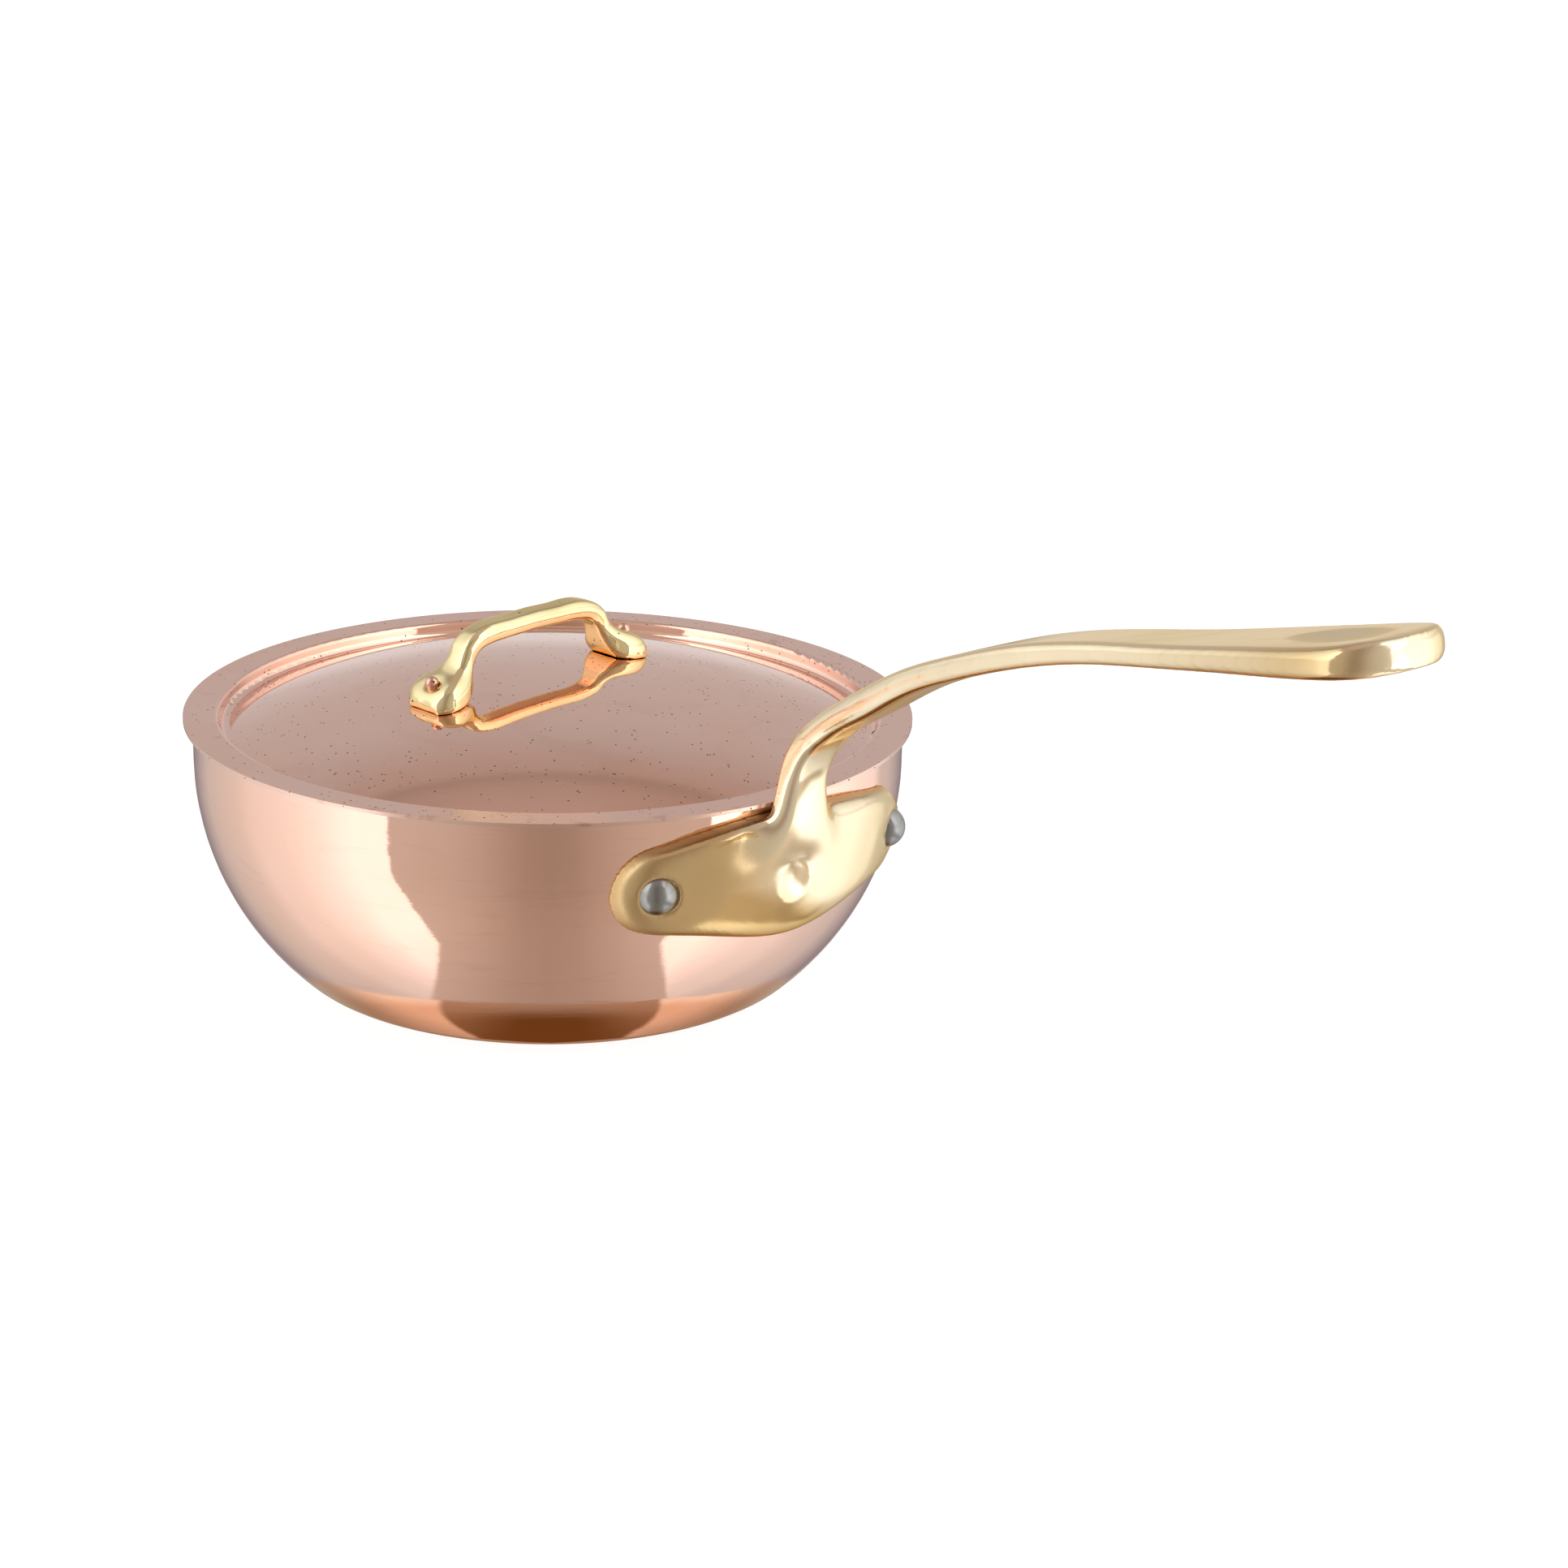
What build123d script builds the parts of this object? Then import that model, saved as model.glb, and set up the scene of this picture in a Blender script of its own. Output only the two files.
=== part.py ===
from build123d import *
from math import asin, atan2, cos, degrees, radians, sin, sqrt
import os

# A copper saucepan with a curved wall, a domed lid and a cast bronze stick handle.
# Millimetres. The origin is the middle of the flat underside of the base, +Z is up,
# the stick handle points along +X and the pan's axis is Z.

os.makedirs("parts", exist_ok=True)

# ---------- driving dimensions ----------

# pan body: copper outside, thin steel lining bonded inside
pan_height = 89.0
wall_radius = 120.4           # outer radius where the wall stands upright
wall_arc_radius = 96.7        # big arc that carries the wall down to the base
wall_arc_height = 75.0        # height at which that arc turns upright
base_corner_radius = 14.0
copper_thickness = 1.8
lining_thickness = 0.25

# lid: flat brim on the rim, a step down inside it, a domed middle
lid_copper_thickness = 0.95
lid_lining_thickness = 0.25
lid_radius = 123.5
brim_bend_radius = 1.6
step_lean = 12.0              # degrees that the step leans in
groove_radius = 108.8         # radius of the groove at the foot of the step
groove_depth = 5.0            # brim's top face down to the bottom of the groove
groove_arc_radius = 2.5
dome_rise = 14.5              # middle of the dome above the brim's top face

# stick handle flange: a bat shape that hugs the wall
flange_middle_thickness = 9.0
flange_rivet_thickness = 6.0
flange_lobe_radius = 15.2
flange_lobe_height = 65.2
flange_reach_left = 58.8      # from the handle's middle to the end of each lobe
flange_reach_right = 63.6
flange_top = 86.3
flange_bottom = 43.5
flange_edge_radius = 2.6
shoulder_y = 24.0             # where the bat outline narrows towards its ends
shoulder_drop = 1.6
belly_rise = 3.6

# stick handle arm: x, z, slope in degrees, width and thickness of each section, root to tip
arm_sections = [
    (123.8, 66.0, 98.0, 38.0, 7.0),
    (126.8, 77.0, 94.0, 29.5, 9.2),
    (128.0, 87.0, 89.0, 22.6, 8.4),
    (128.7, 96.5, 80.0, 18.6, 8.0),
    (132.1, 106.9, 60.0, 18.4, 8.2),
    (142.9, 119.1, 40.0, 16.9, 8.4),
    (160.1, 130.6, 32.0, 18.0, 9.0),
    (180.7, 143.1, 27.0, 19.8, 8.0),
    (200.8, 152.1, 22.5, 22.6, 7.4),
    (224.8, 161.2, 18.5, 25.4, 7.1),
    (253.0, 169.1, 13.0, 26.8, 6.5),
    (279.5, 174.6, 12.0, 30.7, 6.6),
    (308.5, 180.9, 12.3, 38.1, 7.4),
    (327.0, 184.9, 12.8, 43.4, 8.1),
    (340.3, 187.9, 13.0, 45.6, 8.6),
    (346.0, 189.2, 13.0, 43.8, 9.0),
    (350.5, 190.3, 13.0, 38.8, 9.4),
    (354.0, 191.1, 13.0, 30.6, 9.4),
    (356.4, 191.6, 13.0, 20.0, 9.0),
    (357.6, 191.9, 13.0, 10.0, 8.2),
]
arm_roundness = 0.42          # corner radius as a share of the thickness

# shallow oval hollows: one in the middle of the flange, one on top of the handle near its tip
dimple_height = 64.4
dimple_y = -3.0
dimple_half_width = 6.3
dimple_half_length = 7.8
dimple_depth = 1.2
thumb_hollow_x = 332.0
thumb_hollow_height = 190.1   # top face of the handle there
thumb_hollow_slope = 12.9
thumb_hollow_half_width = 11.5
thumb_hollow_half_length = 15.5
thumb_hollow_depth = 2.0

# pan rivets
rivet_angles = {"left": -22.3, "right": 25.8}   # degrees round from the handle, set by hand
rivet_height = 66.0
rivet_shank_radius = 3.5
rivet_head_radius = 6.4
rivet_head_height = 4.4
rivet_seat_depth = 0.7
inner_head_radius = 6.8
inner_head_height = 1.8
inner_head_gap = 0.25         # the wall is hollow under the middle of the inner head

# lid handle, in its own plane on the dome: along the bar, height, slope, width, thickness
lid_handle_turn = 4.2         # degrees, the lid lies a little turned on the rim
lid_handle_shift = -9.0       # along its own bar
bar_sections = [
    (0.0, 18.2, 0.0, 9.6, 6.6),
    (11.0, 17.9, -2.0, 9.6, 6.6),
    (22.0, 17.2, -13.0, 9.8, 6.8),
    (28.7, 13.6, -50.0, 9.8, 6.4),
    (31.4, 8.6, -68.0, 11.6, 6.4),
    (33.6, 5.2, -52.0, 16.0, 8.4),
    (37.0, 2.2, -30.0, 20.2, 10.4),
    (41.0, 0.4, -20.0, 21.8, 10.2),
    (44.8, -1.3, -17.0, 20.0, 8.6),
    (47.4, -2.6, -16.0, 14.5, 5.6),
]
bar_roundness = 0.4

# lid rivets
lid_rivet_reach = 42.0        # from the middle of the lid handle
lid_rivet_seat = 8.0          # height of the seat above the dome
lid_rivet_shank_radius = 1.9
lid_rivet_head_radius = 2.3
lid_rivet_head_height = 2.4
lid_inner_head_radius = 4.2
lid_inner_head_height = 1.2
lid_inner_head_gap = 0.05

# cutters for the rivet holes reach this far past the surfaces
rivet_cut_margin = 10.0
lid_cut_margin = 9.0

signs = {"left": -1, "right": 1}

# ---------- positions that follow ----------

wall_arc_x = wall_radius - wall_arc_radius
corner_x = wall_arc_x + sqrt((wall_arc_radius - base_corner_radius) ** 2
                             - (wall_arc_height - base_corner_radius) ** 2)
joint_angle = degrees(atan2(base_corner_radius - wall_arc_height, corner_x - wall_arc_x))

# the point on the wall behind each handle rivet
wall_tilt = asin((rivet_height - wall_arc_height) / wall_arc_radius)
rivet_wall_radius = wall_arc_x + wall_arc_radius * cos(wall_tilt)

# along each rivet: its seat outside and the underside of its inner head
rivet_seat = flange_rivet_thickness - rivet_seat_depth
rivet_foot = -copper_thickness - lining_thickness - inner_head_gap
lid_rivet_foot = -lid_copper_thickness - lid_lining_thickness - lid_inner_head_gap

# the dome is a cap of a ball; its radius follows from the groove and the rise
brim_top = pan_height + lid_lining_thickness + lid_copper_thickness
sag = dome_rise + groove_depth
cap_reach = (groove_radius ** 2 + sag ** 2) / (2 * sag)
cap_radius = cap_reach - groove_arc_radius
cap_center_z = brim_top + dome_rise - cap_radius
edge_slope = degrees(asin(groove_radius / cap_reach))
groove_center_z = brim_top - groove_depth + groove_arc_radius
bend_center_z = brim_top - brim_bend_radius
bend_rise = (bend_center_z - groove_center_z) * sin(radians(step_lean))
bend_x = groove_radius + (brim_bend_radius + groove_arc_radius + bend_rise) / cos(radians(step_lean))


def wall_side(inset):
    """Half outline of the pan from the middle of the base to the rim, inset from the outside."""
    Line((0, inset), (corner_x, inset))
    CenterArc((corner_x, base_corner_radius), base_corner_radius - inset, -90, joint_angle + 90)
    CenterArc((wall_arc_x, wall_arc_height), wall_arc_radius - inset, joint_angle, -joint_angle)
    Line((wall_radius - inset, wall_arc_height), (wall_radius - inset, pan_height))


def wall_layer(outer, inner):
    """Closed half section of the pan's sheet between two insets."""
    wall_side(outer)
    wall_side(inner)
    Line((0, outer), (0, inner))
    Line((wall_radius - outer, pan_height), (wall_radius - inner, pan_height))


def lid_side(depth):
    """Half outline of the lid from the brim to the middle of the dome, a depth below its top face."""
    lean = radians(step_lean)
    bend = brim_bend_radius - depth
    groove = groove_arc_radius + depth
    Line((lid_radius, brim_top - depth), (bend_x, brim_top - depth))
    CenterArc((bend_x, bend_center_z), bend, 90, 90 - step_lean)
    Line((bend_x - bend * cos(lean), bend_center_z + bend * sin(lean)),
         (groove_radius + groove * cos(lean), groove_center_z - groove * sin(lean)))
    CenterArc((groove_radius, groove_center_z), groove, -step_lean, step_lean - 90 - edge_slope)
    CenterArc((0, cap_center_z), cap_radius - depth, 90 - edge_slope, edge_slope)


def lid_layer(upper, lower):
    """Closed half section of the lid's sheet between two depths."""
    lid_side(upper)
    lid_side(lower)
    Line((lid_radius, brim_top - upper), (lid_radius, brim_top - lower))
    Line((0, cap_center_z + cap_radius - upper), (0, cap_center_z + cap_radius - lower))


def rivet_plane(side, distance):
    """Plane square to a handle rivet, a distance outside the pan wall; side is left or right."""
    angle = radians(rivet_angles[side])
    outward = Vector(cos(angle) * cos(wall_tilt), sin(angle) * cos(wall_tilt), sin(wall_tilt))
    foot = Vector(cos(angle) * rivet_wall_radius, sin(angle) * rivet_wall_radius, rivet_height)
    return Plane(origin=foot + outward * distance, x_dir=(-sin(angle), cos(angle), 0), z_dir=outward)


def dome_plane(along, distance):
    """Plane square to the dome, a distance above it, along the lid handle's bar from the lid's axis."""
    tilt = asin(along / cap_radius)
    turn = radians(lid_handle_turn)
    bar = Vector(-sin(turn), cos(turn), 0)
    normal = bar * sin(tilt) + Vector(0, 0, cos(tilt))
    along_dome = bar * cos(tilt) - Vector(0, 0, sin(tilt))
    center = Vector(0, 0, cap_center_z)
    return Plane(origin=center + normal * (cap_radius + distance), x_dir=along_dome, z_dir=normal)


def lid_rivet_plane(side, distance):
    """Plane square to a lid rivet, a distance above the dome; side is left or right."""
    return dome_plane(lid_handle_shift + signs[side] * lid_rivet_reach, distance)


def plane_axis(plane):
    """Axis through the plane's origin, square to the plane."""
    return Axis(plane.origin, plane.z_dir)


def upright(plane):
    """Plane through the same origin and x_dir whose y_dir is the given plane's normal."""
    return Plane(origin=plane.origin, x_dir=plane.x_dir, z_dir=-plane.y_dir)


def rivet_profile(shank_radius, length, head_radius, head_height, low_radius, low_height):
    """Half outline of a rivet on its axis: low head below 0, shank up to length, domed head above."""
    top = length + head_height
    Line((0, -low_height), (0, top))
    TangentArc((0, top), (head_radius, length), tangent=(1, 0))
    Polyline((head_radius, length), (shank_radius, length), (shank_radius, 0), (low_radius, 0))
    TangentArc((0, -low_height), (low_radius, 0), tangent=(1, 0))


def hollow_turn_radius(half_width, depth):
    """Radius across a shallow hollow, about the line that its outline turns around."""
    return (half_width ** 2 + depth ** 2) / (2 * depth)


def hollow_outline(half_length, half_width, depth):
    """Barrel outline that cuts an oval hollow when it turns about its straight side."""
    long_radius = (half_length ** 2 + depth ** 2) / (2 * depth)
    turn_radius = hollow_turn_radius(half_width, depth)
    axis_height = turn_radius - depth
    reach = sqrt(long_radius ** 2 - (long_radius - turn_radius) ** 2)
    ThreePointArc((-reach, axis_height), (0, -depth), (reach, axis_height))
    Line((reach, axis_height), (-reach, axis_height))


def hollow_axis(surface, half_width, depth):
    """Line that a hollow's outline turns about, above the surface and along its x direction."""
    height = hollow_turn_radius(half_width, depth) - depth
    return Axis(surface.origin + surface.z_dir * height, surface.x_dir)


# ---------- pan ----------

with BuildPart() as pan_copper_shell:
    with BuildSketch(Plane.XZ):
        with BuildLine():
            wall_layer(0, copper_thickness)
        make_face()
    revolve(axis=Axis.Z)
    for side in signs:
        with BuildSketch(rivet_plane(side, -rivet_cut_margin)):
            Circle(rivet_shank_radius)
        extrude(amount=2 * rivet_cut_margin, mode=Mode.SUBTRACT)
pan_copper_shell.part.label = "pan_copper_shell"

with BuildPart() as pan_steel_lining:
    with BuildSketch(Plane.XZ):
        with BuildLine():
            wall_layer(copper_thickness, copper_thickness + lining_thickness)
        make_face()
    revolve(axis=Axis.Z)
    for side in signs:
        with BuildSketch(rivet_plane(side, -rivet_cut_margin)):
            Circle(rivet_shank_radius)
        extrude(amount=2 * rivet_cut_margin, mode=Mode.SUBTRACT)
pan_steel_lining.part.label = "pan_steel_lining"

# ---------- stick handle ----------

# the space that the pan fills, cut out of the handle so that it sits on the wall
with BuildPart() as pan_outer_form:
    with BuildSketch(Plane.XZ):
        with BuildLine():
            wall_side(0)
            Line((wall_radius, pan_height), (0, pan_height))
            Line((0, pan_height), (0, 0))
        make_face()
    revolve(axis=Axis.Z)

with BuildPart() as arm:
    for x, z, slope, width, thickness in arm_sections:
        lean = radians(slope)
        with BuildSketch(Plane(origin=(x, 0, z), x_dir=(0, 1, 0), z_dir=(cos(lean), 0, sin(lean)))):
            RectangleRounded(width, thickness, thickness * arm_roundness)
    loft()

# the flange's outer face turns about an upright axis nearer the handle than the pan's own,
# which makes the flange thick in the middle and thin at the ends
middle_reach = wall_radius + flange_middle_thickness
rivet_reach = wall_radius + flange_rivet_thickness
mean_rivet_angle = radians((rivet_angles["right"] - rivet_angles["left"]) / 2)
flange_axis_x = (middle_reach ** 2 - rivet_reach ** 2) / (
    2 * (middle_reach - rivet_reach * cos(mean_rivet_angle)))
face_radius = wall_arc_radius + flange_middle_thickness
left_lobe_y = flange_lobe_radius - flange_reach_left
right_lobe_y = flange_reach_right - flange_lobe_radius
lobe_top = flange_lobe_height + flange_lobe_radius
lobe_bottom = flange_lobe_height - flange_lobe_radius

dimple_tilt = asin((dimple_height - wall_arc_height) / face_radius)
dimple_plane = Plane(origin=(wall_arc_x + face_radius * cos(dimple_tilt), dimple_y, dimple_height),
                     x_dir=(-sin(dimple_tilt), 0, cos(dimple_tilt)),
                     z_dir=(cos(dimple_tilt), 0, sin(dimple_tilt)))

thumb_lean = radians(thumb_hollow_slope)
thumb_plane = Plane(origin=(thumb_hollow_x, 0, thumb_hollow_height),
                    x_dir=(cos(thumb_lean), 0, sin(thumb_lean)),
                    z_dir=(-sin(thumb_lean), 0, cos(thumb_lean)))

with BuildPart() as stick_handle:
    # flange: a turned face, cut to the bat outline, edges rounded
    with BuildSketch(Plane.XZ):
        with BuildLine():
            face_arc = CenterArc((wall_arc_x, wall_arc_height), face_radius, joint_angle, 8 - joint_angle)
            Polyline(face_arc @ 1, (flange_axis_x, (face_arc @ 1).Y), (flange_axis_x, 0), face_arc @ 0)
        make_face()
    revolve(axis=Axis((flange_axis_x, 0, 0), (0, 0, 1)))
    with BuildSketch(Plane.YZ.offset(wall_radius / 2)):
        with BuildLine():
            top_edge = Spline((left_lobe_y, lobe_top),
                              (-shoulder_y, flange_top - shoulder_drop), (0, flange_top),
                              (shoulder_y, flange_top - shoulder_drop),
                              (right_lobe_y, lobe_top))
            bottom_edge = Spline((right_lobe_y, lobe_bottom),
                                 (shoulder_y, flange_bottom + belly_rise), (0, flange_bottom),
                                 (-shoulder_y, flange_bottom + belly_rise),
                                 (left_lobe_y, lobe_bottom))
            ThreePointArc(top_edge @ 1, (flange_reach_right, flange_lobe_height), bottom_edge @ 0)
            ThreePointArc(bottom_edge @ 1, (-flange_reach_left, flange_lobe_height), top_edge @ 0)
        make_face()
    extrude(amount=wall_radius, mode=Mode.INTERSECT)
    fillet(stick_handle.faces().sort_by(Axis.X)[-1].edges(), flange_edge_radius)
    with BuildSketch(upright(dimple_plane)):
        with BuildLine():
            hollow_outline(dimple_half_length, dimple_half_width, dimple_depth)
        make_face()
    revolve(axis=hollow_axis(dimple_plane, dimple_half_width, dimple_depth), mode=Mode.SUBTRACT)
    # arm, with the thumb hollow near its tip
    add(arm.part)
    with BuildSketch(upright(thumb_plane)):
        with BuildLine():
            hollow_outline(thumb_hollow_half_length, thumb_hollow_half_width, thumb_hollow_depth)
        make_face()
    revolve(axis=hollow_axis(thumb_plane, thumb_hollow_half_width, thumb_hollow_depth), mode=Mode.SUBTRACT)
    # back fitted to the wall, holes and seats for the rivets
    add(pan_outer_form.part, mode=Mode.SUBTRACT)
    for side in signs:
        with BuildSketch(rivet_plane(side, -rivet_cut_margin)):
            Circle(rivet_shank_radius)
        extrude(amount=2 * rivet_cut_margin, mode=Mode.SUBTRACT)
        with BuildSketch(rivet_plane(side, rivet_seat)):
            Circle(rivet_head_radius)
        extrude(amount=rivet_cut_margin, mode=Mode.SUBTRACT)
stick_handle.part.label = "stick_handle"

# ---------- pan rivets: a domed head on the flange, a low head inside the pan ----------

with BuildPart() as handle_rivet_left:
    with BuildSketch(upright(rivet_plane("left", rivet_foot))):
        with BuildLine():
            rivet_profile(rivet_shank_radius, rivet_seat - rivet_foot, rivet_head_radius,
                          rivet_head_height, inner_head_radius, inner_head_height)
        make_face()
    revolve(axis=plane_axis(rivet_plane("left", rivet_foot)))
handle_rivet_left.part.label = "handle_rivet_left"

with BuildPart() as handle_rivet_right:
    with BuildSketch(upright(rivet_plane("right", rivet_foot))):
        with BuildLine():
            rivet_profile(rivet_shank_radius, rivet_seat - rivet_foot, rivet_head_radius,
                          rivet_head_height, inner_head_radius, inner_head_height)
        make_face()
    revolve(axis=plane_axis(rivet_plane("right", rivet_foot)))
handle_rivet_right.part.label = "handle_rivet_right"

# ---------- lid ----------

with BuildPart() as lid_copper_shell:
    with BuildSketch(Plane.XZ):
        with BuildLine():
            lid_layer(0, lid_copper_thickness)
        make_face()
    revolve(axis=Axis.Z)
    for side in signs:
        with BuildSketch(lid_rivet_plane(side, -lid_cut_margin)):
            Circle(lid_rivet_shank_radius)
        extrude(amount=2 * lid_cut_margin, mode=Mode.SUBTRACT)
lid_copper_shell.part.label = "lid_copper_shell"

with BuildPart() as lid_steel_lining:
    with BuildSketch(Plane.XZ):
        with BuildLine():
            lid_layer(lid_copper_thickness, lid_copper_thickness + lid_lining_thickness)
        make_face()
    revolve(axis=Axis.Z)
    for side in signs:
        with BuildSketch(lid_rivet_plane(side, -lid_cut_margin)):
            Circle(lid_rivet_shank_radius)
        extrude(amount=2 * lid_cut_margin, mode=Mode.SUBTRACT)
lid_steel_lining.part.label = "lid_steel_lining"

# ---------- lid handle: one bar bent down at both ends into flat feet ----------

handle_plane = dome_plane(lid_handle_shift, 0)

with BuildPart() as lid_handle:
    left_half = [(-x, z, -slope, width, thickness) for x, z, slope, width, thickness in bar_sections[:0:-1]]
    for x, z, slope, width, thickness in left_half + bar_sections:
        lean = radians(slope)
        section = Plane(origin=(x, 0, z), x_dir=(0, 1, 0), z_dir=(cos(lean), 0, sin(lean)))
        with BuildSketch(Plane(handle_plane.location * section.location)):
            RectangleRounded(width, thickness, thickness * bar_roundness)
    loft()
    # feet fitted to the dome, holes and seats for the rivets
    with Locations((0, 0, cap_center_z)):
        Sphere(cap_radius, mode=Mode.SUBTRACT)
    for side in signs:
        with BuildSketch(lid_rivet_plane(side, -lid_cut_margin)):
            Circle(lid_rivet_shank_radius)
        extrude(amount=2 * lid_cut_margin, mode=Mode.SUBTRACT)
        with BuildSketch(lid_rivet_plane(side, lid_rivet_seat)):
            Circle(lid_rivet_head_radius)
        extrude(amount=lid_cut_margin, mode=Mode.SUBTRACT)
lid_handle.part.label = "lid_handle"

# ---------- lid rivets ----------

with BuildPart() as lid_rivet_left:
    with BuildSketch(upright(lid_rivet_plane("left", lid_rivet_foot))):
        with BuildLine():
            rivet_profile(lid_rivet_shank_radius, lid_rivet_seat - lid_rivet_foot, lid_rivet_head_radius,
                          lid_rivet_head_height, lid_inner_head_radius, lid_inner_head_height)
        make_face()
    revolve(axis=plane_axis(lid_rivet_plane("left", lid_rivet_foot)))
lid_rivet_left.part.label = "lid_rivet_left"

with BuildPart() as lid_rivet_right:
    with BuildSketch(upright(lid_rivet_plane("right", lid_rivet_foot))):
        with BuildLine():
            rivet_profile(lid_rivet_shank_radius, lid_rivet_seat - lid_rivet_foot, lid_rivet_head_radius,
                          lid_rivet_head_height, lid_inner_head_radius, lid_inner_head_height)
        make_face()
    revolve(axis=plane_axis(lid_rivet_plane("right", lid_rivet_foot)))
lid_rivet_right.part.label = "lid_rivet_right"

# ---------- one file for each piece ----------

for piece in (pan_copper_shell, pan_steel_lining, stick_handle, handle_rivet_left, handle_rivet_right,
              lid_copper_shell, lid_steel_lining, lid_handle, lid_rivet_left, lid_rivet_right):
    export_step(piece.part, f"parts/{piece.part.label}.step")
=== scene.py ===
import math

import bpy
from mathutils import Matrix, Vector


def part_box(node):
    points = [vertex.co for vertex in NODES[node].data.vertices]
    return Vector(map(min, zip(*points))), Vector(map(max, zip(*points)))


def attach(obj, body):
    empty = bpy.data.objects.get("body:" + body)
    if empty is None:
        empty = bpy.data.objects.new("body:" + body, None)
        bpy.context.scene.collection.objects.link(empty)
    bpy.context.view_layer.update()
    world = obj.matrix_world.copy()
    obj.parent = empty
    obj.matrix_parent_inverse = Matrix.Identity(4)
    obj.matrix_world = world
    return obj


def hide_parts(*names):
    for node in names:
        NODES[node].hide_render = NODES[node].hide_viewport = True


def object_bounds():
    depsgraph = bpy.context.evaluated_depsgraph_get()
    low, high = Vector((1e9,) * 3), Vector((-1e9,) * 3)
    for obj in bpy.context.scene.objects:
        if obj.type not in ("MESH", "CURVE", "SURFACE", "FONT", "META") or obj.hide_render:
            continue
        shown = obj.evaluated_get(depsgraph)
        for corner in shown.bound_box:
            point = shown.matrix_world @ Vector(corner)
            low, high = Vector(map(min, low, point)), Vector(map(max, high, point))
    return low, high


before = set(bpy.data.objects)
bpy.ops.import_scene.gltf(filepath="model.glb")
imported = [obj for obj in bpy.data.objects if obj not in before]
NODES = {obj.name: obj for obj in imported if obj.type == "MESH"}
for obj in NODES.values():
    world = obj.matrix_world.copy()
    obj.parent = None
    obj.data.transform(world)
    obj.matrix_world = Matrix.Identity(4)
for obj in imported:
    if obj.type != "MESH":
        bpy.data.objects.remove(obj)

cad_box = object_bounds()

# Copper saucepan with a lid, in metres, +Z up, the stick handle along +X.
# The sheet metal and the rivets keep their CAD meshes. The two cast handles are
# replaced by softened copies of their CAD solids, because castings have no sharp inner corners.

OFFSETS = {"pan": 3.1, "lid": 11.7, "stick": 23.4, "bar": 31.9, "steel": 41.2}


# ---------- camera ----------

CAMERA_DISTANCE = 1.10        # from the middle of the brim
CAMERA_AZIMUTH = -37.8        # degrees from the stick handle
CAMERA_ELEVATION = 17.0
CAMERA_TURN = -4.379          # the pan stands left of the picture's middle
CAMERA_TILT = -18.349
CAMERA_ROLL = 1.489
CAMERA_LENS = 73.81
CAMERA_SENSOR = 36.0
CAMERA_NEAR = 0.01
BRIM_ABOVE_LID_FOOT = 0.0062  # from the lid's lowest point up to its brim

brim_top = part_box("lid_copper_shell")[0].z + BRIM_ABOVE_LID_FOOT


def camera_offset():
    azimuth = math.radians(CAMERA_AZIMUTH)
    elevation = math.radians(CAMERA_ELEVATION)
    return Vector((math.cos(elevation) * math.cos(azimuth),
                   math.cos(elevation) * math.sin(azimuth),
                   math.sin(elevation))) * CAMERA_DISTANCE


camera_data = bpy.data.cameras.new("camera")
camera_data.lens = CAMERA_LENS
camera_data.sensor_width = CAMERA_SENSOR
camera_data.clip_start = CAMERA_NEAR
camera = bpy.data.objects.new("camera", camera_data)
bpy.context.scene.collection.objects.link(camera)
heading = math.radians(180.0 + CAMERA_AZIMUTH + CAMERA_TURN)
camera.matrix_world = (
    Matrix.Translation(Vector((0.0, 0.0, brim_top)) + camera_offset())
    @ Matrix.Rotation(heading - math.pi / 2, 4, "Z")
    @ Matrix.Rotation(math.radians(90.0 + CAMERA_TILT), 4, "X")
    @ Matrix.Rotation(math.radians(CAMERA_ROLL), 4, "Z"))
bpy.context.scene.camera = camera


# ---------- node helpers ----------

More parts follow.
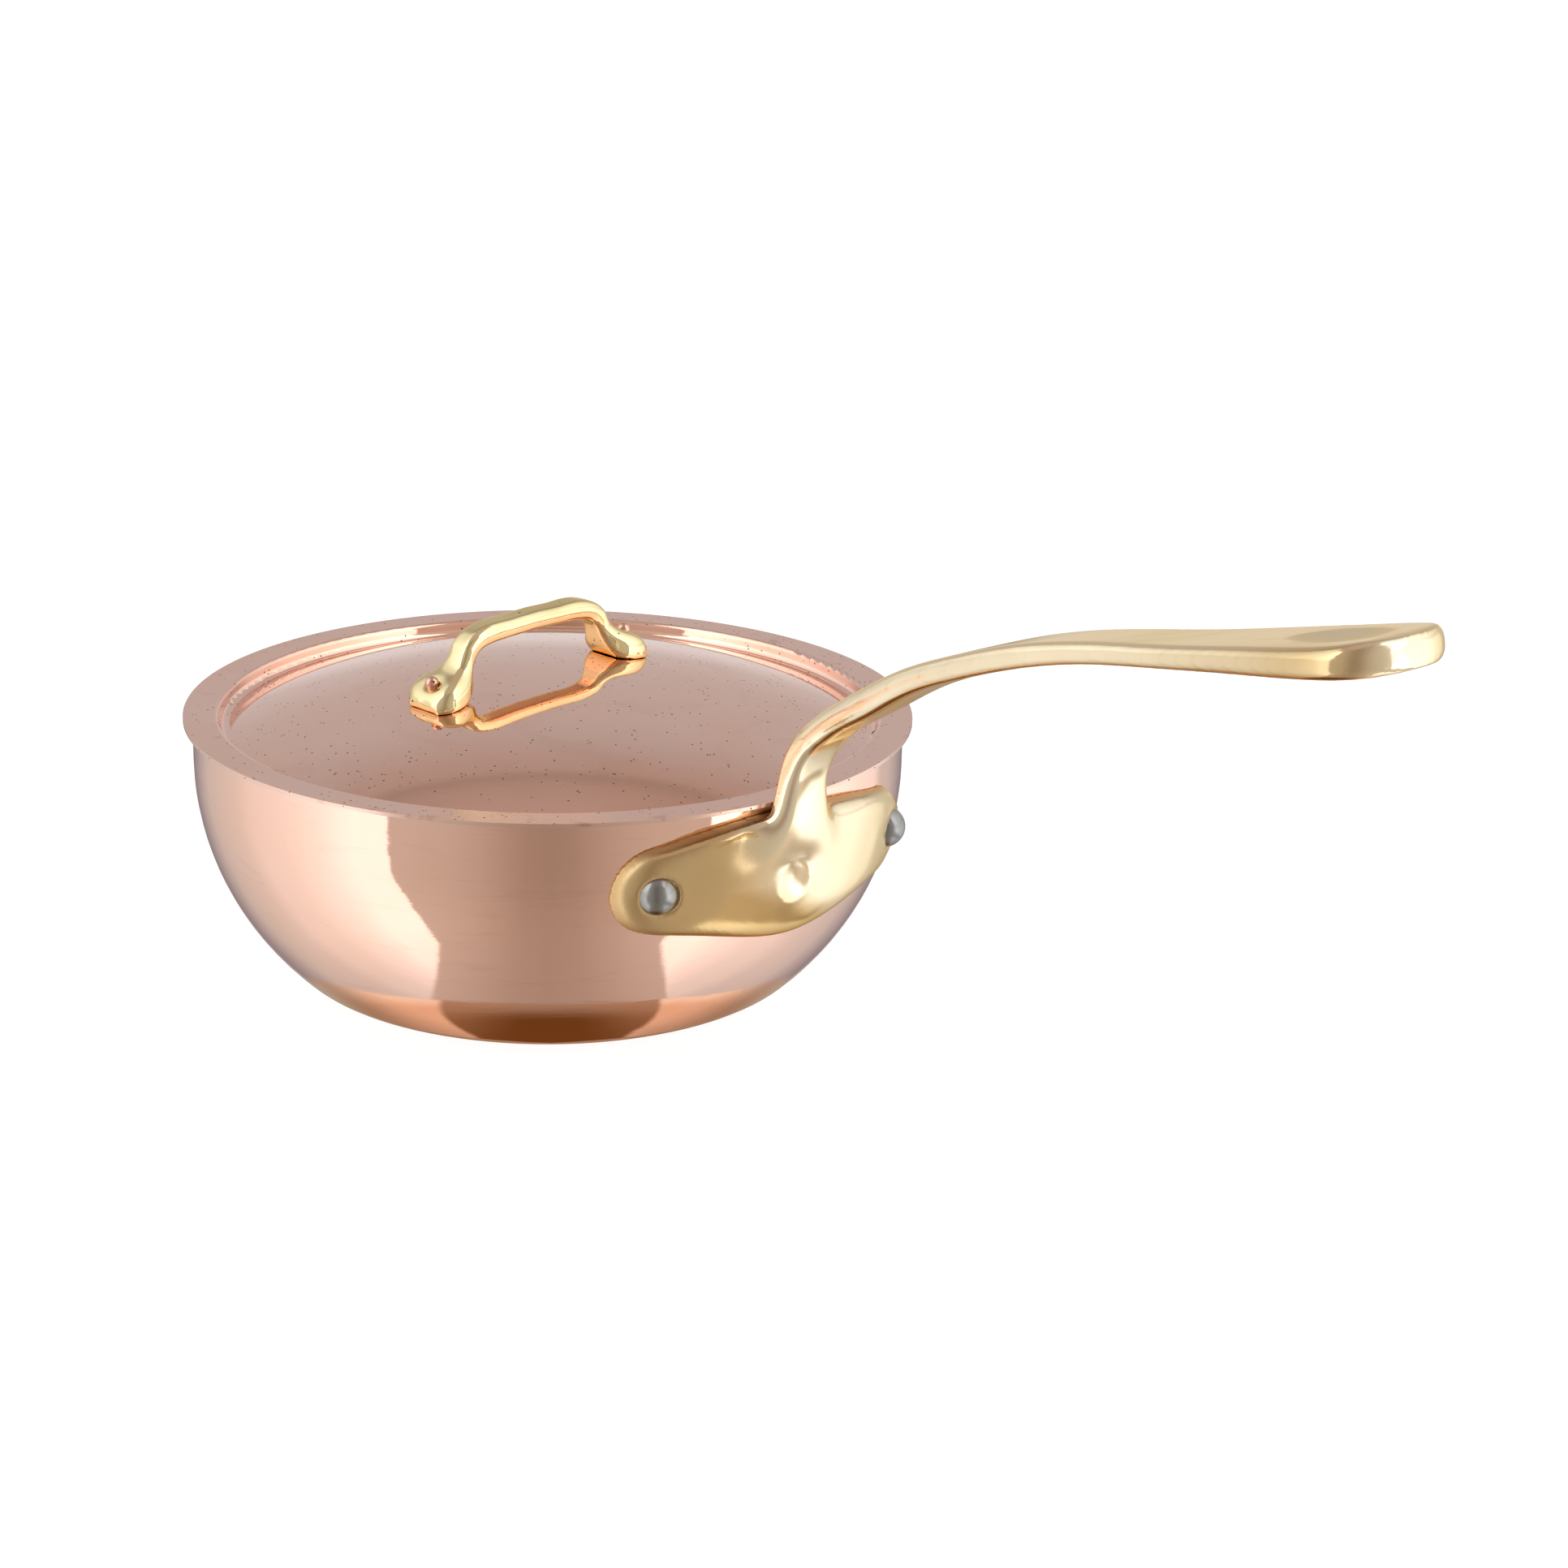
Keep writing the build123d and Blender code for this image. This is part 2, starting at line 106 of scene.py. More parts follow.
class Nodes:
    """Short ways to add and join shader nodes."""

    def __init__(self, tree):
        self.tree = tree
        tree.nodes.clear()

    def add(self, kind, **settings):
        node = self.tree.nodes.new(kind)
        for name, value in settings.items():
            setattr(node, name, value)
        return node

    def put(self, socket, value):
        if isinstance(value, bpy.types.NodeSocket):
            self.tree.links.new(value, socket)
        elif value is not None:
            socket.default_value = value

    def math(self, operation, a, b=None, c=None):
        node = self.add("ShaderNodeMath", operation=operation)
        for socket, value in zip(node.inputs, (a, b, c)):
            self.put(socket, value)
        return node.outputs[0]

    def ramp(self, value, low, high, start=0.0, end=1.0, smooth=True):
        """Value between low and high, carried over to start..end."""
        node = self.add("ShaderNodeMapRange",
                        interpolation_type="SMOOTHSTEP" if smooth else "LINEAR")
        for name, number in (("Value", value), ("From Min", low), ("From Max", high),
                             ("To Min", start), ("To Max", end)):
            self.put(node.inputs[name], number)
        return node.outputs["Result"]

    def curve(self, value, points, top=2.0):
        """A float that follows the given (position, value) points; positions run from 0 to 1."""
        node = self.add("ShaderNodeValToRGB")
        elements = node.color_ramp.elements
        while len(elements) < len(points):
            elements.new(0.5)
        for element, (position, height) in zip(elements, points):
            element.position = position
            element.color = (height / top, height / top, height / top, 1.0)
        self.put(node.inputs["Fac"], value)
        return self.math("MULTIPLY", node.outputs["Color"], top)

    def product(self, first, *others):
        """All the given values multiplied together."""
        for value in others:
            first = self.math("MULTIPLY", first, value)
        return first

    def length(self, a, b):
        """The root of a*a + b*b."""
        return self.math("SQRT", self.math("ADD", self.product(a, a), self.product(b, b)))

    def scale(self, color, factor):
        node = self.add("ShaderNodeVectorMath", operation="SCALE")
        self.put(node.inputs[0], color)
        self.put(node.inputs["Scale"], factor)
        return node.outputs[0]

    def mix(self, factor, a, b):
        """Colour a where factor is 0, colour b where it is 1."""
        node = self.add("ShaderNodeMix", data_type="RGBA")
        self.put(node.inputs["Factor"], factor)
        self.put(node.inputs["A"], a)
        self.put(node.inputs["B"], b)
        return node.outputs["Result"]

    def noise(self, vector, scale, detail=2.0, distortion=0.0):
        node = self.add("ShaderNodeTexNoise")
        self.put(node.inputs["Vector"], vector)
        for name, number in (("Scale", scale), ("Detail", detail), ("Distortion", distortion)):
            node.inputs[name].default_value = number
        return node.outputs["Fac"]

    def object_axes(self):
        """The object's own x, y and z."""
        split = self.add("ShaderNodeSeparateXYZ")
        self.put(split.inputs[0], self.add("ShaderNodeTexCoord").outputs["Object"])
        return split.outputs

    def object_point(self, stretch=(1.0, 1.0, 1.0), offset=0.0):
        point = self.add("ShaderNodeTexCoord").outputs["Object"]
        mapping = self.add("ShaderNodeMapping")
        self.put(mapping.inputs["Vector"], point)
        mapping.inputs["Location"].default_value = (offset, offset * 0.7, offset * 0.3)
        mapping.inputs["Scale"].default_value = stretch
        return mapping.outputs["Vector"]

    def bump(self, height, distance, strength=1.0, normal=None):
        node = self.add("ShaderNodeBump")
        node.inputs["Strength"].default_value = strength
        node.inputs["Distance"].default_value = distance
        self.put(node.inputs["Height"], height)
        if normal is not None:
            self.put(node.inputs["Normal"], normal)
        return node.outputs["Normal"]


def new_material(name):
    material = bpy.data.materials.new(name)
    material.use_nodes = True
    return material, Nodes(material.node_tree)


WHITE = (1.0, 1.0, 1.0, 1.0)


def metal(nodes, color, roughness, normal, edge_tint=WHITE):
    """End a material in a metallic shader."""
    shader = nodes.add("ShaderNodeBsdfPrincipled")
    shader.inputs["Metallic"].default_value = 1.0
    shader.inputs["Specular Tint"].default_value = edge_tint
    nodes.put(shader.inputs["Base Color"], color)
    nodes.put(shader.inputs["Roughness"], roughness)
    nodes.put(shader.inputs["Normal"], normal)
    output = nodes.add("ShaderNodeOutputMaterial")
    nodes.put(output.inputs["Surface"], shader.outputs["BSDF"])


# ---------- materials ----------

COPPER = (0.955, 0.638, 0.538, 1.0)
COPPER_WARM = (0.94, 0.60, 0.48, 1.0)
COPPER_DULL = (0.62, 0.35, 0.27, 1.0)
COPPER_PIT = (0.14, 0.07, 0.05, 1.0)
CAST_PIT = (0.16, 0.10, 0.05, 1.0)
CAST_EDGE_TINT = (1.0, 0.86, 0.62, 1.0)

# the two tones between which each metal varies
# bronze: a pale tone that is a painted highlight and a tan tone that is painted shade; a little
# random cloud mixes them too
BRONZE_LIT_AND_SHADED_TONES = ((0.97, 0.85, 0.65, 1.0), (0.68, 0.46, 0.20, 1.0))
BRASS_TONES = ((0.88, 0.76, 0.46, 1.0), (0.66, 0.52, 0.28, 1.0))
RIVET_COPPER_TONES = ((0.80, 0.50, 0.41, 1.0), (0.60, 0.33, 0.26, 1.0))
LINING_TONES = ((0.60, 0.59, 0.58, 1.0), (0.68, 0.67, 0.66, 1.0))
RIVET_STEEL_TONES = ((0.26, 0.26, 0.26, 1.0), (0.36, 0.36, 0.37, 1.0))

# noise scales, in waves per metre
GRAIN_SCALE = 900.0
HAZE_SCALE = 16.0
WISP_SCALE = 22.0
STAIN_SCALE = 120.0
SWELL_SCALE = 9.0
WAVE_SCALE = 34.0
CLOUD_SCALE = 14.0
SCRATCH_SCALE = 240.0
STEEL_MARK_SCALE = 300.0
STEEL_CLOUD_SCALE = 120.0
STEEL_DENT_SCALE = 260.0
PIT_CELLS = 400.0
PIT_FIELD = 0.4               # scale of the fields of pits, as a share of the cells' scale
PIT_FADE = 0.14

# values of the noise between which each mark fades in
GRAIN_SPAN = (0.3, 0.7)
HAZE_SPAN = (0.35, 0.75)
WISP_TONE_SPAN = (0.56, 0.78)
WISP_ROUGH_SPAN = (0.55, 0.8)
STAIN_SPAN = (0.60, 0.72)
CLOUD_SPAN = (0.3, 0.75)

# bump heights, in metres
COPPER_GRAIN_HEIGHT = 0.000003
WISP_HEIGHT = 0.00012
SWELL_HEIGHT = 0.0003
COPPER_PIT_HEIGHT = -0.00003
SCRATCH_HEIGHT = 0.000005
CAST_GRAIN_HEIGHT = 0.000002
CAST_PIT_HEIGHT = -0.00008
STEEL_MARK_HEIGHT = 0.00001
STEEL_DENT_HEIGHT = 0.0001

# the stick handle's flange: painted shade makes it browner to the left and towards its foot; next
# to the wall it is unpolished (rougher), with painted shade darkening its colour there
PAINTED_SHADE_DROP = 0.024           # from the pan's rim down to where the painted shade starts to spread
PAINTED_SHADE_SLOPE = 2.2            # how fast the painted shade spreads sideways below that
PAINTED_SHADE_SPAN = (-0.006, -0.030)
UNPOLISHED_AND_SHADED_SPAN = (0.0055, 0.0015)
BRIM_FADE = 0.002
BRIM_INNER_SHARE = 0.905      # of the lid's radius

pan_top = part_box("pan_copper_shell")[1]
lid_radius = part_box("lid_copper_shell")[1].x
brim_inner_radius = lid_radius * BRIM_INNER_SHARE


def pits(nodes, point, limit, size):
    """Sparse round pits: 1 inside a pit, 0 elsewhere."""
    voronoi = nodes.add("ShaderNodeTexVoronoi", feature="F1")
    nodes.put(voronoi.inputs["Vector"], point)
    voronoi.inputs["Scale"].default_value = PIT_CELLS
    field = nodes.noise(point, PIT_CELLS * PIT_FIELD, detail=1.0)
    reach = nodes.ramp(field, limit, limit + PIT_FADE, 0.0, size)
    return nodes.math("LESS_THAN", voronoi.outputs["Distance"], reach)


def polished_copper(name, offset, pit_limit, roughness_dome, roughness_brim, brim_from):
    """Mirror copper: polishing haze, wisps of wiping marks, small pits and a duller brim."""
    material, nodes = new_material(name)
    point = nodes.object_point(offset=offset)
    haze = nodes.noise(point, HAZE_SCALE, detail=4.0)
    fine = nodes.noise(point, GRAIN_SCALE, detail=3.0)
    wiped = nodes.object_point((1.0, 1.0, 7.0), offset)
    wisps = nodes.noise(wiped, WISP_SCALE, detail=6.0, distortion=1.6)
    holes = pits(nodes, point, pit_limit, size=0.15)
    x, y, _ = nodes.object_axes()
    brim = nodes.ramp(nodes.length(x, y), brim_from, brim_from + BRIM_FADE)
    stains = nodes.ramp(nodes.noise(point, STAIN_SCALE, detail=5.0), *STAIN_SPAN, 0.0, 0.55)
    tone = nodes.mix(nodes.ramp(haze, *HAZE_SPAN), COPPER, COPPER_WARM)
    tone = nodes.mix(nodes.ramp(wisps, *WISP_TONE_SPAN, 0.0, 0.16), tone, COPPER_DULL)
    tone = nodes.mix(nodes.product(brim, 0.12), tone, COPPER_DULL)
    tone = nodes.mix(nodes.product(stains, brim), tone, COPPER_DULL)
    tone = nodes.mix(nodes.product(holes, 0.85), tone, COPPER_PIT)
    roughness = nodes.ramp(fine, *GRAIN_SPAN, roughness_dome * 0.8, roughness_dome * 1.2)
    roughness = nodes.math("ADD", roughness, nodes.ramp(wisps, *WISP_ROUGH_SPAN, 0.0, 0.03))
    roughness = nodes.math("ADD", roughness, nodes.product(brim, roughness_brim - roughness_dome))
    roughness = nodes.math("ADD", roughness, nodes.product(holes, 0.3))
    normal = nodes.bump(fine, COPPER_GRAIN_HEIGHT)
    normal = nodes.bump(wisps, WISP_HEIGHT, 0.25, normal)
    normal = nodes.bump(nodes.noise(point, SWELL_SCALE, detail=1.0), SWELL_HEIGHT, 0.3, normal)
    normal = nodes.bump(holes, COPPER_PIT_HEIGHT, 1.0, normal)
    metal(nodes, tone, roughness, normal)
    return material


def cast_metal(name, offset, tones, base_roughness, wave_height, pit_limit, on_wall=False):
    """Ground and hand-polished casting: soft waves, fine scratches along it, a few pits."""
    material, nodes = new_material(name)
    point = nodes.object_point(offset=offset)
    waves = nodes.noise(point, WAVE_SCALE, detail=2.0)
    cloud = nodes.ramp(nodes.noise(point, CLOUD_SCALE, detail=3.0), *CLOUD_SPAN)
    if on_wall:
        x, y, z = nodes.object_axes()
        # painted shade: the flange's tone goes browner to the left (-y) and further below the rim;
        # from here cloud carries mostly this painted shade and only a little random tone
        drop = nodes.math("MINIMUM", nodes.math("SUBTRACT", z, pan_top.z - PAINTED_SHADE_DROP), 0.0)
        painted_shade = nodes.ramp(nodes.math("MULTIPLY_ADD", drop, PAINTED_SHADE_SLOPE, y), *PAINTED_SHADE_SPAN)
        cloud = nodes.math("MULTIPLY_ADD", painted_shade, 0.8, nodes.product(cloud, 0.2))
        # next to the wall the casting is rougher (unpolished), and its colour is pushed towards the
        # dark tone as painted shade
        unpolished_and_shaded = nodes.ramp(nodes.length(x, y), *(pan_top.x + gap for gap in UNPOLISHED_AND_SHADED_SPAN))
        cloud = nodes.math("MAXIMUM", cloud, nodes.product(unpolished_and_shaded, 0.6))
    drawn = nodes.object_point((1.0, 9.0, 9.0), offset)
    scratches = nodes.noise(drawn, SCRATCH_SCALE, detail=4.0)
    grain = nodes.noise(point, GRAIN_SCALE * 1.5, detail=2.0)
    holes = pits(nodes, point, pit_limit, size=0.2)
    tone = nodes.mix(cloud, *tones)
    tone = nodes.mix(holes, tone, CAST_PIT)
    roughness = nodes.ramp(scratches, *GRAIN_SPAN, base_roughness * 0.8, base_roughness * 1.25)
    roughness = nodes.math("ADD", roughness, nodes.product(holes, 0.4))
    if on_wall:
        roughness = nodes.math("MULTIPLY_ADD", unpolished_and_shaded, 0.38, roughness)
    normal = nodes.bump(scratches, SCRATCH_HEIGHT)
    normal = nodes.bump(grain, CAST_GRAIN_HEIGHT, 1.0, normal)
    normal = nodes.bump(waves, wave_height, 0.6, normal)
    normal = nodes.bump(holes, CAST_PIT_HEIGHT, 1.0, normal)
    metal(nodes, tone, roughness, normal, edge_tint=CAST_EDGE_TINT)
    return material


def satin_steel(name, offset, tones, base_roughness, ring_stretch):
    """Steel with turned or brushed marks."""
    material, nodes = new_material(name)
    point = nodes.object_point(offset=offset)
    ringed = nodes.object_point((1.0, 1.0, ring_stretch), offset)
    marks = nodes.noise(ringed, STEEL_MARK_SCALE, detail=4.0)
    cloud = nodes.noise(point, STEEL_CLOUD_SCALE, detail=3.0)
    dents = nodes.noise(point, STEEL_DENT_SCALE, detail=2.0)
    roughness = nodes.ramp(marks, *GRAIN_SPAN, base_roughness * 0.8, base_roughness * 1.3)
    normal = nodes.bump(marks, STEEL_MARK_HEIGHT)
    normal = nodes.bump(dents, STEEL_DENT_HEIGHT, 0.35, normal)
    metal(nodes, nodes.mix(cloud, *tones), roughness, normal)
    return material


pan_copper = polished_copper("pan_copper", OFFSETS["pan"], pit_limit=0.70,
                             roughness_dome=0.045, roughness_brim=0.045, brim_from=lid_radius)
lid_copper = polished_copper("lid_copper", OFFSETS["lid"], pit_limit=0.40,
                             roughness_dome=0.035, roughness_brim=0.24, brim_from=brim_inner_radius)
bronze = cast_metal("cast_bronze", OFFSETS["stick"], BRONZE_LIT_AND_SHADED_TONES, base_roughness=0.14,
                    wave_height=0.0012, pit_limit=0.68, on_wall=True)
brass = cast_metal("lid_brass", OFFSETS["bar"], BRASS_TONES, base_roughness=0.05,
                   wave_height=0.0009, pit_limit=0.56)
rivet_copper = cast_metal("copper_rivet", OFFSETS["bar"], RIVET_COPPER_TONES, base_roughness=0.20,
                          wave_height=0.0004, pit_limit=0.52)
lining_steel = satin_steel("steel_lining", OFFSETS["steel"], LINING_TONES,
                           base_roughness=0.28, ring_stretch=14.0)
rivet_steel = satin_steel("steel_rivet", OFFSETS["steel"], RIVET_STEEL_TONES,
                          base_roughness=0.24, ring_stretch=2.0)

NODE_MATERIALS = {
    "pan_copper_shell": pan_copper,
    "pan_steel_lining": lining_steel,
    "handle_rivet_left": rivet_steel,
    "handle_rivet_right": rivet_steel,
    "lid_copper_shell": lid_copper,
    "lid_steel_lining": lining_steel,
    "lid_rivet_left": rivet_copper,
    "lid_rivet_right": rivet_copper,
}

for node_name, material in NODE_MATERIALS.items():
    node_object = NODES[node_name]
    node_object.data.materials.clear()
    node_object.data.materials.append(material)


# ---------- cast handles ----------

SMOOTH_FACTOR = 0.5


def evaluated_mesh(piece, modifiers):
    """Apply the given modifiers to a mesh object."""
    for kind, settings in modifiers:
        modifier = piece.modifiers.new(kind.lower(), kind)
        for key, value in settings.items():
            setattr(modifier, key, value)
    graph = bpy.context.evaluated_depsgraph_get()
    mesh = bpy.data.meshes.new_from_object(piece.evaluated_get(graph))
    piece.modifiers.clear()
    piece.data = mesh


def cast_piece(node_name, name, body, material, voxel, rounds):
    """Replace a handle's CAD node by a voxel-remeshed, lightly smoothed copy."""
    piece = bpy.data.objects.new(name, NODES[node_name].data.copy())
    bpy.context.scene.collection.objects.link(piece)
    evaluated_mesh(piece, [
        ("REMESH", {"mode": "VOXEL", "voxel_size": voxel, "use_smooth_shade": True}),
        ("SMOOTH", {"factor": SMOOTH_FACTOR, "iterations": rounds}),
    ])
    piece.data.materials.clear()
    piece.data.materials.append(material)
    for polygon in piece.data.polygons:
        polygon.use_smooth = True
    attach(piece, body)
    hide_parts(node_name)
    return piece


def soften(piece, name, weight, rounds):
    """Smooth a casting where weight(point, normal) is over 0, as hand grinding would."""
    group = piece.vertex_groups.new(name=name)
    for vertex in piece.data.vertices:
        share = weight(vertex.co, vertex.normal)
        if share > 0.0:
            group.add([vertex.index], min(1.0, share), "REPLACE")
    evaluated_mesh(piece, [
        ("SMOOTH", {"factor": SMOOTH_FACTOR, "iterations": rounds, "vertex_group": name}),
    ])


STICK_VOXEL = 0.0008          # metres
STICK_ROUNDS = 4
BAR_VOXEL = 0.0006
BAR_ROUNDS = 8
EDGE_ROUNDS = 220
NECK_ROUNDS = 170
FOOT_ROUNDS = 150

BACK_LIMIT = -0.25            # cosine that tells a face towards the pan, or down
NECK_ROOT_OUT = 0.010         # from the wall out to the neck's root
NECK_ROOT_DROP = 0.006        # from the pan's rim down to it
NECK_REACH = 0.034
FOOT_REACH = 0.018
DIMPLE_OUT = 0.008
DIMPLE_DROP = 0.0246          # from the pan's rim down to the middle of the oval dimple
DIMPLE_SHIFT = -0.003
DIMPLE_CLEAR = 0.0080         # radius round the dimple that stays sharp
SEAT_CLEAR = 0.0085           # the same round the rivets
DETAIL_FADE = 700.0           # growth of a weight away from what stays sharp, per metre
RIM_FADE = 200.0
NECK_FADE = 2.0
FOOT_FADE = 3.0

stick = cast_piece("stick_handle", "stick_handle_cast", "pan", bronze,
                   STICK_VOXEL, STICK_ROUNDS)
bar = cast_piece("lid_handle", "lid_handle_cast", "lid", brass,
                 BAR_VOXEL, BAR_ROUNDS)


def box_middle(name):
    low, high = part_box(name)
    return (low + high) / 2


neck_root = Vector((pan_top.x + NECK_ROOT_OUT, 0.0, pan_top.z - NECK_ROOT_DROP))
dimple = Vector((pan_top.x + DIMPLE_OUT, DIMPLE_SHIFT, pan_top.z - DIMPLE_DROP))
seats = [box_middle("handle_rivet_left"), box_middle("handle_rivet_right")]
feet = [box_middle("lid_rivet_left"), box_middle("lid_rivet_right")]


def clear_of_details(point):
    """Under 0 on the dimple and the rivet seats, growing to over 1 away from them."""
    gap = min((point - dimple).length - DIMPLE_CLEAR,
              *((point - seat).length - SEAT_CLEAR for seat in seats))
    return gap * DETAIL_FADE


def faces_pan(point, normal):
    outward = Vector((point.x, point.y, 0.0)).normalized()
    return normal.dot(outward) < BACK_LIMIT


def flange_weight(point, normal):
    """1 on the flange's outer side, fading out above the rim."""
    if faces_pan(point, normal):
        return 0.0
    return min(1.0, (pan_top.z - point.z) * RIM_FADE, clear_of_details(point))


def neck_weight(point, normal):
    """1 near the foot of the neck, fading out with distance."""
    if faces_pan(point, normal):
        return 0.0
    nearness = 1.0 - (point - neck_root).length / NECK_REACH
    return min(nearness * NECK_FADE, clear_of_details(point))


def foot_weight(point, normal):
    """1 near the lid handle's feet but for their undersides."""
    if normal.z < BACK_LIMIT:
        return 0.0
    distance = min((point - foot).length for foot in feet)
    return (1.0 - distance / FOOT_REACH) * FOOT_FADE


soften(stick, "flange_edge", flange_weight, EDGE_ROUNDS)
soften(stick, "neck_fillet", neck_weight, NECK_ROUNDS)
soften(bar, "foot_fillet", foot_weight, FOOT_ROUNDS)


# ---------- floor ----------

FLOOR_SIZE = 6.0
FLOOR_DROP = 0.0002           # keeps the floor clear of the base
FLOOR_GREY = (0.22, 0.22, 0.22, 1.0)
FLOOR_GLOW = 0.9              # the floor is a lit white table

bpy.ops.mesh.primitive_plane_add(size=FLOOR_SIZE, location=(0.0, 0.0, cad_box[0].z - FLOOR_DROP))
floor = bpy.context.object
floor.name = "floor"
floor_material, nodes = new_material("floor_white")
shader = nodes.add("ShaderNodeBsdfPrincipled")
shader.inputs["Base Color"].default_value = FLOOR_GREY
shader.inputs["Roughness"].default_value = 0.7
shader.inputs["Specular IOR Level"].default_value = 0.2
shader.inputs["Emission Color"].default_value = WHITE
shader.inputs["Emission Strength"].default_value = FLOOR_GLOW
output = nodes.add("ShaderNodeOutputMaterial")
nodes.put(output.inputs["Surface"], shader.outputs["BSDF"])
floor.data.materials.append(floor_material)
floor.visible_glossy = False


# ---------- studio surroundings ----------

# Directions are told by front (towards the camera's side), side and rise, each from -1 to 1, by
# around (0 in front, 1 behind), by height (1 overhead) and by slant (0 level behind, 1 overhead).

# strengths of the lights along around, side and slant
BOX_LIGHT = [(0.0, 1.5), (0.36, 1.5), (0.43, 1.25), (0.53, 1.02), (0.61, 0.94),
             (0.67, 0.79), (0.74, 0.70), (0.82, 0.58), (1.0, 0.58)]
GAP_LIGHT = [(0.0, 0.38), (0.12, 0.40), (0.25, 0.47), (0.36, 0.53), (0.50, 0.59),
             (0.70, 0.64), (1.0, 0.60)]
BACKDROP_LIGHT = [(0.0, 0.76), (0.08, 0.61), (0.18, 0.56), (0.38, 0.53), (0.49, 0.47),
                  (0.535, 0.45), (0.555, 0.37), (0.58, 0.43), (0.64, 0.48), (0.75, 0.56),
                  (1.0, 0.58)]

BOX_TINT = (1.0, 0.99, 0.95, 1.0)
FAR_LOW_TINT = (1.0, 0.86, 0.93, 1.0)
BROWN_TINT = (1.05, 0.91, 0.74, 1.0)
GAP_MIDDLE_TINT = (1.0, 0.84, 0.70, 1.0)
GAP_SIDE_TINT = (1.0, 0.93, 0.83, 1.0)
BACKDROP_TINT = (1.0, 0.98, 0.98, 1.0)
BACKDROP_HIGH_TINT = (1.0, 0.84, 0.76, 1.0)
LENS_MIDDLE = (0.16, 0.062, 0.014, 1.0)
LENS_RIM = (0.40, 0.29, 0.20, 1.0)
LENS_SIDE = (0.50, 0.30, 0.17, 1.0)
GLOW_INNER = (0.84, 0.55, 0.36, 1.0)
GLOW_OUTER = (1.03, 0.83, 0.63, 1.0)

FAR_LOW_CHANGE = -0.5         # changes of the light's strength, as shares
BROWN_CHANGE = -0.54
BRIGHT_CHANGE = 0.40
BOX_BLUR = 0.012              # half widths of blurred edges
LENS_BLUR = 0.015
BROWN_BLUR = 0.05
OVAL_FRONT = 0.41             # the oval's middle lies this far to the back
OVAL_HALF_LENGTH = 0.49
OVAL_HALF_WIDTH = 0.415
LENS_HALF_WIDTH = 0.33
LENS_NARROWING = -0.80
BEHIND_SPAN = (138.0 / 180.0, 152.0 / 180.0)
OVERHEAD_SPAN = (0.66, 0.80)
PAGE_STRENGTH = 1.02

world = bpy.data.worlds.new("studio")
bpy.context.scene.world = world
world.use_nodes = True
nodes = Nodes(world.node_tree)
direction = nodes.add("ShaderNodeTexCoord").outputs["Generated"]
turned = nodes.add("ShaderNodeVectorRotate", rotation_type="Z_AXIS")
nodes.put(turned.inputs["Vector"], direction)
turned.inputs["Angle"].default_value = math.radians(-CAMERA_AZIMUTH)
parts = nodes.add("ShaderNodeSeparateXYZ")
nodes.put(parts.inputs[0], turned.outputs[0])
front, sideways, rise = parts.outputs
side = nodes.math("ABSOLUTE", sideways)
around = nodes.math("DIVIDE", nodes.math("ARCTAN2", side, front), math.pi)
height = nodes.math("DIVIDE", nodes.math("ARCSINE", rise), math.pi / 2)
backward = nodes.product(front, -1.0)
slant = nodes.math("DIVIDE", nodes.math("ARCTAN2", rise, backward), math.pi / 2)

# on the handle's side something brown hides the light's lower part, and the light comes nearer
# above it: towards the camera the handle's flange mirrors both, and the neck the bright part
on_right = nodes.ramp(sideways, 0.0, 0.1)
brown_edge = nodes.ramp(around, 0.32, 0.50, -0.38, -0.60, smooth=False)
above_edge = nodes.math("SUBTRACT", rise, brown_edge)
in_brown = nodes.product(nodes.ramp(above_edge, BROWN_BLUR, -BROWN_BLUR),
                         nodes.ramp(rise, -0.72, -0.66), on_right, nodes.ramp(around, 0.66, 0.58))
in_bright = nodes.product(nodes.ramp(above_edge, 0.0, 0.08), nodes.ramp(rise, 0.12, 0.02),
                          on_right, nodes.ramp(around, 0.75, 0.71))

# two large soft lights, one each side
far_low = nodes.product(nodes.ramp(around, 0.78, 0.93), nodes.ramp(rise, -0.12, -0.24))
box_light = nodes.product(nodes.curve(around, BOX_LIGHT),
                          nodes.ramp(rise, -0.70, -0.92, 1.0, 0.88),
                          nodes.ramp(rise, 0.05, 0.30, 1.0, 1.35),
                          nodes.math("MULTIPLY_ADD", far_low, FAR_LOW_CHANGE, 1.0),
                          nodes.math("MULTIPLY_ADD", in_brown, BROWN_CHANGE, 1.0),
                          nodes.math("MULTIPLY_ADD", in_bright, BRIGHT_CHANGE, 1.0))
box_tint = nodes.mix(far_low, BOX_TINT, FAR_LOW_TINT)
box_tint = nodes.mix(in_brown, box_tint, BROWN_TINT)

# a dim gap between them in front
gap_light = nodes.product(nodes.curve(side, GAP_LIGHT), nodes.ramp(rise, -0.35, -0.80, 1.0, 1.12))
gap_tint = nodes.mix(nodes.ramp(side, 0.0, 0.6), GAP_MIDDLE_TINT, GAP_SIDE_TINT)

# the edge between the gap and the lights
edge_slope = nodes.ramp(rise, -0.46, -0.68, 1.29, 1.12, smooth=False)
edge_front = nodes.product(front, edge_slope)
edge_under = nodes.math("MULTIPLY_ADD", front, 0.20, 0.37)
edge_above = nodes.product(nodes.math("MULTIPLY_ADD", front, 0.35, 0.42), rise)
edge_side = nodes.mix(nodes.math("GREATER_THAN", rise, 0.0), edge_under, edge_above)
past_edge = nodes.math("SUBTRACT", side, nodes.math("MAXIMUM", edge_front, edge_side))
in_box = nodes.ramp(past_edge, -BOX_BLUR, BOX_BLUR)
studio = nodes.mix(in_box, nodes.scale(gap_tint, gap_light), nodes.scale(box_tint, box_light))

